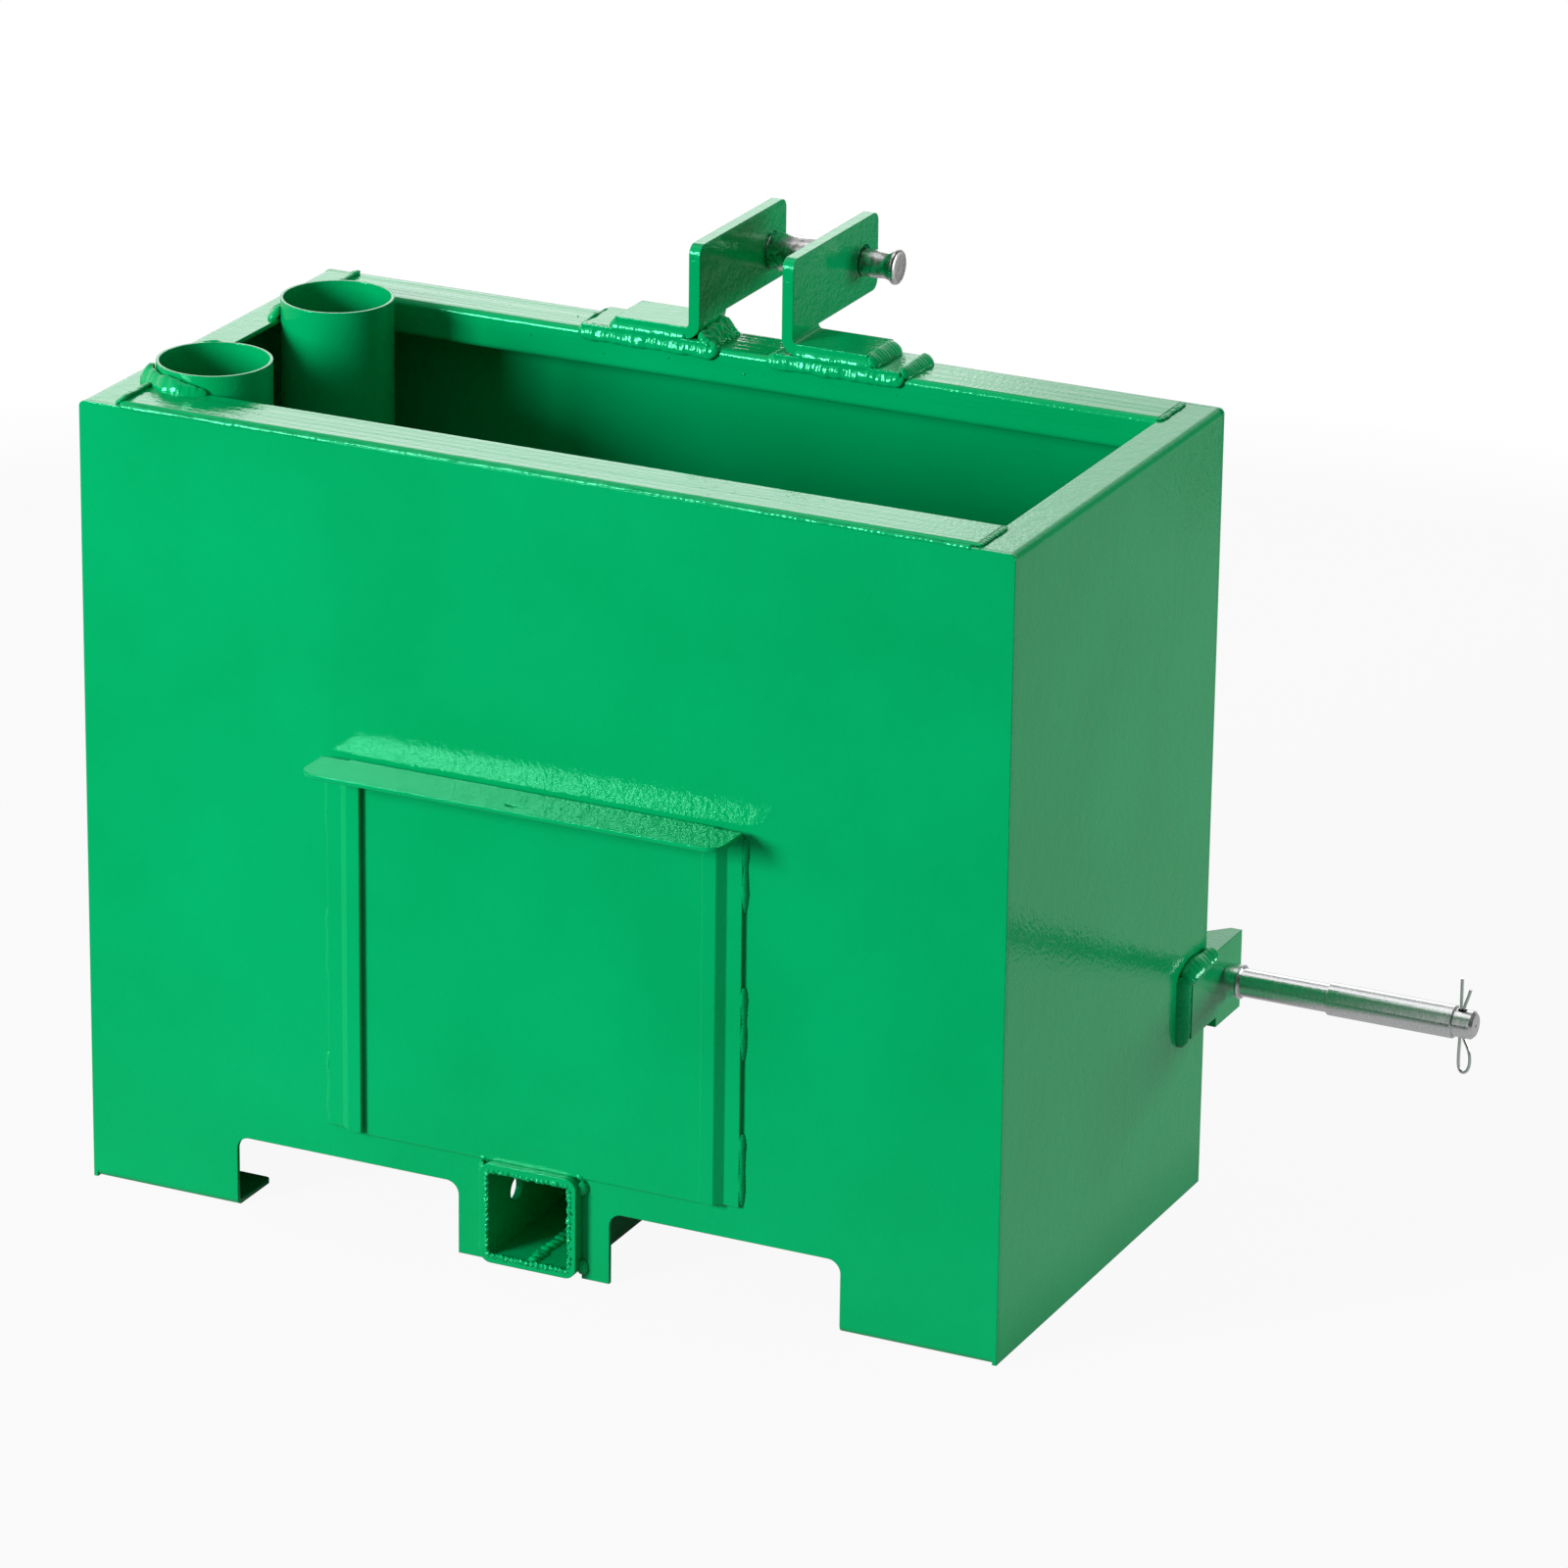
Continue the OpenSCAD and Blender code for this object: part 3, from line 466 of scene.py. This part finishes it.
front_tube, rear_tube = (-274, 78), (-270, 236)
collar, collar_faces = round_tube(front_tube, 545.0, range(196, 293, 8), 0.5)
blob, blob_faces = round_tube(front_tube, 549.5, range(104, 137, 8))
lap, lap_faces = round_tube(front_tube, 542.5, range(132, 197, 8))
tab, tab_faces = round_tube(rear_tube, 542.5, range(182, 219, 6))
rest, rest_faces = round_tube(rear_tube, 542.5, range(144, 183, 6))
weld("tool_tube_beads", [
    (collar, (7, 9.5, 11, 10, 9.5, 9, 9.5, 10.5, 10, 9, 7.5, 5.5, 4), collar_faces),
    (blob, (5, 8, 9, 8, 5), blob_faces),
    (lap, (5, 6, 5, 5.5, 5, 6, 5.5, 6, 7), lap_faces),
    (tab, (5, 7.5, 6, 9, 8, 9.5, 6), tab_faces),
    (rest, (4, 5, 4.5, 5, 4.5, 5, 5), rest_faces)],
    ("tool_tube_welds",), height=0.42, ripple_pitch=0.005, ripple_depth=0.0002,
    lump_size=0.006, lumps=0.0008, seed=8.0)

# The receiver is 70 x 70 x 5 mm square tube through the middle foot, sawn off
# with a rough edge. Its corners are tacked to the front panel, and the tube's
# own weld seam runs along its floor.
finish(powder, "receiver_tube")
weld("receiver_tack_beads", [
    (along_z(side * 35, 0, (z0, z0 + 3, z0 + 7, z0 + 10)), (3.4, 5.2, 4.8, 3.2),
     (side, -1, 0)) for side in (-1, 1) for z0 in (4, 60)] + [
    (along_x((side * 38, side * 35, side * 31), 0, 72), (3.0, 4.6, 3.0), (side * 0.3, -1, 1))
    for side in (-1, 1)],
    ("receiver_welds",), height=0.5, lumps=0.0005, seed=5.0)
mouth = [(-30, 11), (-30, 37), (-30, 63), (-26, 67), (0, 67), (26, 67), (30, 63), (30, 37),
         (30, 11), (26, 7), (0, 7), (-26, 7), (-30, 11)]
weld("receiver_mouth_burr", [
    ([spot(x, -8.4, z) for x, z in mouth], 1.9, (0, -1, 0.35))],
    stand=0, height=0.6, ripple_pitch=0.0036, ripple_depth=0.0013, lump_size=0.0028,
    lumps=0.0010, seed=11.0)
weld("receiver_inner_seam", [
    ([spot(x, y, 6.8) for x, y in ((2, -7), (1, 20), (2, 50), (1, 80), (2, 150), (1, 300))],
     (6.5, 5.6, 7.0, 5.4, 6.4, 5.0), (0, 0, 1))],
    stand=0, height=0.5, ripple_pitch=0.0062, ripple_depth=0.0018, lump_size=0.0045,
    lumps=0.0013, seed=13.0)

# The gate is 3 mm sheet with its upper edge folded out as a grip. It slides
# up in two stepped rails, each held to the front panel by three weld stitches.
finish(powder, "gate", "left_gate_rail", "right_gate_rail")
weld("rail_stitch_beads", [
    (along_z(side * 149, 0, (z0 + 0.5, z0 + 14, z0 + 30, z0 + 43, z0 + 51)),
     (2.0, 3.2, 2.6, 3.3, 2.2), (side, -1, 0)) for side in (-1, 1)
    for z0 in (74, 174.5, 275)],
    ("rail_welds",), height=0.5, ripple_pitch=0.0028, ripple_depth=0.0003, lumps=0.0003,
    seed=17.0)

# The top-link clevis is two brackets folded from 8 mm plate. Each stands on a
# 4 mm pad, and pads and brackets are welded to the rear rim tube all round.
finish(powder, "left_pad_plate", "right_pad_plate", "left_top_bracket",
       "right_top_bracket")
# Heavy wide beads over the front edges of the pads and down the tube
weld("pad_front_beads", [
    (along_x((-114, -104, -90, -74, -58, -42, -28, -18, -11), 283.4, 543.8),
     (6.4, 8.2, 7.6, 8.2, 7.4, 8.4, 7.8, 8.8, 7.4), (0, -1, 0.38)),
    (along_x((24, 34, 50, 66, 82, 98, 112, 119, 124), 283.4, 543.8),
     (6.4, 8.2, 7.6, 8.4, 7.6, 8.4, 8.0, 7.8, 5.6), (0, -1, 0.38))],
    ("pad_welds",), stand=0, height=0.4, ripple_pitch=0.0042, ripple_depth=0.0003,
    lump_size=0.006, lumps=0.0006, seed=21.0)
weld("bracket_leg_beads", [
    # Thin smooth beads between the front edges of the legs and the pads
    (along_x((-91, -86, -66, -46, -35), 283.6, 550.4), (3.6, 4.8, 4.6, 4.8, 4.0),
     (0, -1, 0.38)),
    (along_x((45, 56, 76, 94, 101), 283.6, 550.4), (4.0, 4.8, 4.6, 4.8, 3.4),
     (0, -1, 0.38))],
    stand=0, height=0.45, ripple_depth=0.0001, lump_size=0.008, lumps=0.0003, seed=23.0)
weld("clevis_end_beads", [
    # Outer ends of the legs and of the pads, and inner end of the right pad
    (along_y(-87, (284, 296, 310, 323), 549), (6, 7.5, 7, 6.5), (-1, 0, 1)),
    (along_y(97, (282, 296, 310, 324), 549), (8, 9, 9.4, 9.4), (1, 0, 1)),
    (along_y(-111, (286, 298, 312, 322), 545), (4.4, 5.4, 5, 4.6), (-1, 0, 1)),
    (along_y(121, (282, 296, 312, 324), 545), (6.4, 7, 7.6, 8), (1, 0, 1)),
    (along_y(30, (285, 298, 312, 322), 545), (4.4, 4, 4.4, 4), (-1, 0, 1))],
    height=0.42, ripple_pitch=0.0035, ripple_depth=0.0002, lump_size=0.009,
    lumps=0.0005, seed=25.0)
# A rough built-up bead fills the corner between the left ear and its pad
weld("left_ear_rough_bead", [
    (along_y(-26, (282, 290, 300, 311, 320, 325), 546), (8, 9.5, 10, 10, 10.5, 9),
     (1, 0, 0.9)),
    (along_y(-20, (281, 292, 302, 312, 323), 544), (6, 7.5, 7, 8, 7), (1, 0, 1.6))],
    height=0.5, ripple_pitch=0.0065, ripple_depth=0.0003, lump_size=0.0042,
    lumps=0.0015, seed=28.0)

# The lower pin brackets are folded from 8 mm plate. A tongue lies on the side
# panel, with a bead down its front end and along its top.
finish(powder, "left_pin_bracket", "right_pin_bracket")
weld("bracket_beads", [
    bead for side in (-1, 1) for bead in (
        # Down the front end of the tongue
        (along_z(side * 330, 289, (113, 121, 134, 148, 164)), (5, 7.6, 8, 8, 8.4),
         (side * 0.7, -1, 0)),
        # Along its top, thick up to the upper flange
        ([spot(side * x, y, z) for x, y, z in ((330.5, 285, 157), (331, 293, 160),
                                              (332, 304, 162), (333, 315, 162.5),
                                              (334, 324, 163.5), (334.5, 331, 164.5))],
         (8.4, 9.6, 10, 8.6, 8, 7), (side, 0, 1)))],
    ("bracket_welds",), height=0.45, ripple_pitch=0.005, ripple_depth=0.0002,
    lump_size=0.012, lumps=0.0003, seed=31.0)

# Weld spatter stuck to the steel before painting: specks of 1 to 2 mm on the
# inner face of the rear rim tube and round the clevis.
speck_tree = bpy.data.node_groups.new("weld_spatter", "GeometryNodeTree")
face = speck_tree.interface
face.new_socket("Spots", in_out="INPUT", socket_type="NodeSocketGeometry")
for name, value in (("Smallest", 0.0003), ("Largest", 0.0010)):
    face.new_socket(name, in_out="INPUT", socket_type="NodeSocketFloat").default_value = value
face.new_socket("Seed", in_out="INPUT", socket_type="NodeSocketInt").default_value = 4
face.new_socket("Finish", in_out="INPUT", socket_type="NodeSocketMaterial")
face.new_socket("Specks", in_out="OUTPUT", socket_type="NodeSocketGeometry")
given = add(speck_tree, "NodeGroupInput").outputs
points = add(speck_tree, "GeometryNodeMeshToPoints", {"Mesh": given["Spots"]})
ball = add(speck_tree, "GeometryNodeMeshIcoSphere", {"Radius": 1.0, "Subdivisions": 2})
chance = add(speck_tree, "FunctionNodeRandomValue", {2: given["Smallest"], 3: given["Largest"],
                                                     "Seed": given["Seed"]})
specks = add(speck_tree, "GeometryNodeInstanceOnPoints", {
    "Points": points.outputs[0], "Instance": ball.outputs[0], "Scale": chance.outputs[1]})
specks = add(speck_tree, "GeometryNodeRealizeInstances", {"Geometry": specks.outputs[0]})
specks = add(speck_tree, "GeometryNodeSetShadeSmooth", {"Geometry": specks.outputs[0]})
specks = add(speck_tree, "GeometryNodeSetMaterial", {"Geometry": specks.outputs[0],
                                                     "Material": given["Finish"]})
add(speck_tree, "NodeGroupOutput", {"Specks": specks.outputs[0]})
speck_spots = [(x, 284.1, z) for x, z in ((-48, 534), (-14, 527), (8, 531), (22, 533),
                                          (-96, 530), (64, 529), (118, 533), (-150, 535))]
speck_spots += [(-12, 300, 545.2), (2, 290, 545.2), (16, 312, 545.2), (132, 296, 545.2),
                (-126, 306, 545.2), (-120, 318, 545.2)]
speck_mesh = bpy.data.meshes.new("speck_spots")
speck_mesh.from_pydata([spot(*place) for place in speck_spots], [], [])
specks = grow("weld_spatter", speck_mesh, speck_tree, finish=powder)
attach(specks, "box")

# Hitch pins, sleeves, nuts, washers and rings are turned or formed steel with
# bright zinc plating. The plate mirrors the room, with faint turning marks.


def plated(tree, tone, gloss, strength, distance, height):
    """Bare metal of a tone and roughness, with a relief named for its copies."""
    relief = add(tree, "ShaderNodeBump", {"Strength": strength, "Distance": distance,
                                          "Height": height}, name="relief")
    metal = add(tree, "ShaderNodeBsdfPrincipled", {
        "Base Color": tone, "Roughness": gloss, "Metallic": 1.0,
        "Normal": relief.outputs[0]})
    add(tree, "ShaderNodeOutputMaterial", {"Surface": metal.outputs[0]})


zinc = new_material("bright_zinc_plate")
tree = zinc.node_tree
place = add(tree, "ShaderNodeTexCoord").outputs["Object"]
along = add(tree, "ShaderNodeSeparateXYZ", {"Vector": place}).outputs["X"]
# Turning marks run round the pins, about 0.4 mm apart along x
marks = add(tree, "ShaderNodeTexNoise", {"W": along, "Scale": 2500.0, "Detail": 2.0},
            noise_dimensions="1D").outputs["Fac"]
# Crystal grain of the plate, about 1 mm
grain = add(tree, "ShaderNodeTexNoise", {"Vector": place, "Scale": 900.0,
                                         "Detail": 3.0}).outputs["Fac"]
plated(tree, tones(tree, grain, 0.3, "#D6D7D8", 0.7, "#F0F1F2"),
       remap(tree, grain, 0.3, 0.7, 0.12, 0.22),
       0.26, 0.0002, maths(tree, "MULTIPLY_ADD", grain, 1.2, marks))
for side in ("left", "right"):
    finish(zinc, *(f"{side}_{part}" for part in ("hitch_pin", "pin_nut", "lock_washer",
                                                 "pin_ring", "pin_sleeve")))

# The top pin is forged: a 19 mm shank that narrows under a flared head. Its
# zinc plate is dull and mottled, and dark in the hollows of the forging scale.
dull = new_material("dull_zinc_on_forging")
tree = dull.node_tree
place = add(tree, "ShaderNodeTexCoord").outputs["Object"]
# Hollows of the scale, 2 to 4 mm wide
hollows = add(tree, "ShaderNodeTexNoise", {"Vector": place, "Scale": 280.0,
                                           "Detail": 2.0}).outputs["Fac"]
plated(tree, tones(tree, hollows, 0.34, "#A3A19F", 0.62, "#E6E6E5"),
       remap(tree, hollows, 0.3, 0.7, 0.34, 0.20), 0.28, 0.0003, hollows)


def turned(name, profile, axis, material, closed=False):
    """Body of 64 sides round an axis along x. Its profile is a list of x and
    radius; a closed one goes back to where it starts."""
    sides = 64
    form = bmesh.new()
    rings = [[form.verts.new((x, axis.y + radius * math.cos(a), axis.z + radius * math.sin(a)))
              for a in (math.tau * i / sides for i in range(sides))] for x, radius in profile]
    for one, two in zip(rings, rings[1:] + (rings[:1] if closed else [])):
        for i in range(sides):
            form.faces.new((one[i], one[i - 1], two[i - 1], two[i]))
    bmesh.ops.remove_doubles(form, verts=form.verts, dist=1e-6)
    bmesh.ops.recalc_face_normals(form, faces=form.faces)
    mesh = bpy.data.meshes.new(name)
    form.to_mesh(mesh)
    form.free()
    mesh.shade_smooth()
    mesh.materials.append(material)
    return put(name, mesh)


pin_low, pin_high = (Vector(corner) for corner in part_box("top_pin"))
pin_axis = (pin_low + pin_high) / 2
head_r = (pin_high.z - pin_low.z) / 2
shank_r = 0.0095
# Distance before the face of the head and radius there, in millimetres, from
# behind the tail's chamfer on
flare = [(113.5, 9.5), (60, 9.5), (30, 9.5), (16, 9.4), (12.5, 9.0), (10, 8.9), (7.5, 9.2),
         (5.4, 10.1), (3.8, 11.3), (3.0, 12), (1.4, 12), (0.5, 11.4), (0.15, 10.4), (0, 8),
         (0.1, 4), (0, 0)]
profile = [(pin_low.x, 0), (pin_low.x, 0.008)]
profile += [(pin_high.x - before / 1000, min(radius / 1000, head_r)) for before, radius in flare]
top_pin = turned("forged_top_pin", profile, pin_axis, dull)
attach(top_pin, "top_pin")
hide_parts("top_pin")

# A loose sleeve hangs on the top pin between the ears: 25 mm tube with a
# 1.5 mm wall, cut off with a rounded edge. Its dull plate lies smoother.
tube_zinc = dull.copy()
tube_zinc.name = "dull_zinc_on_tube"
tube_zinc.node_tree.nodes["relief"].inputs["Strength"].default_value = 0.08
sleeve_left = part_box("left_top_bracket")[1][0] + 0.0009
sleeve_right = 0.0344
sleeve_out, sleeve_in = 0.0127, 0.0111
sleeve_axis = Vector((0, pin_axis.y, pin_axis.z - (sleeve_in - shank_r)))
# How far each ring of an end lies inside it, and its radius
end = [(0, sleeve_in), (0, sleeve_out - 0.0011), (0.0003, sleeve_out - 0.0004),
       (0.0011, sleeve_out)]
profile = [(sleeve_left + inset, radius) for inset, radius in end]
profile += [(sleeve_right - inset, radius) for inset, radius in reversed(end)]
top_sleeve = turned("top_pin_sleeve", profile, sleeve_axis, tube_zinc, closed=True)
top_sleeve.data.set_sharp_from_angle(angle=math.radians(50))
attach(top_sleeve, "box")

# Split cotters are bent from zinc-plated wire: an eye, and two legs that lie
# together in the hole and are spread past it. One leg is shorter.
cotter_line = [(-1.3, 31.4), (-1.2, 24), (-1.15, 14), (-1.15, 0), (-1.15, -10), (-1.25, -14),
               (-1.5, -20), (-1.6, -27), (-1.2, -31.5), (0.2, -34.2), (2.3, -34.9),
               (4.6, -33.4), (6.1, -30), (6.6, -25.5), (6.0, -20.5), (4.2, -15.6),
               (2.0, -12), (1.15, -9), (1.15, 0), (1.15, 10), (1.3, 12.5), (2.4, 16),
               (3.9, 20), (4.9, 24.5)]


def cotter_wire(name, node, body, middle, outward, along):
    """A cotter whose hole is at middle; its eye bulges outward, and its legs
    point along."""
    curve = bpy.data.curves.new(name, "CURVE")
    curve.dimensions = "3D"
    curve.bevel_depth = 0.00108
    curve.bevel_resolution = 5
    curve.use_fill_caps = True
    curve.resolution_u = 8
    spline = curve.splines.new("NURBS")
    spline.points.add(len(cotter_line) - 1)
    spline.order_u = 4
    spline.use_endpoint_u = True
    for point, (out, up) in zip(spline.points, cotter_line):
        point.co = (*(middle + outward * out / 1000 + along * up / 1000), 1)
    mesh = plain_mesh(put(name + "_path", curve), name)
    mesh.materials.clear()
    mesh.materials.append(zinc)
    piece = put(name, mesh)
    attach(piece, body)
    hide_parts(node)


# The holes lie 504.5 mm from the middle in the hitch pins, 140 mm above the
# ground, and 39.5 mm left of the middle in the top pin
pin_hole_x, pin_height, top_hole_x = 0.5045, 0.140, -0.0395
for side, sign in (("left", -1), ("right", 1)):
    pin_low_y, pin_high_y = (corner[1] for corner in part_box(f"{side}_hitch_pin"))
    hole = Vector((sign * pin_hole_x, (pin_low_y + pin_high_y) / 2, pin_height))
    cotter_wire(f"{side}_cotter_wire", f"{side}_cotter", f"{side}_cotter", hole,
                Vector((sign, 0, 0)), Vector((0, 0, 1)))
cotter_wire("top_cotter_wire", "top_cotter", "top_pin",
            Vector((top_hole_x, pin_axis.y, pin_axis.z)), Vector((1, 0, 0)),
            Vector((0, 1, 0)))
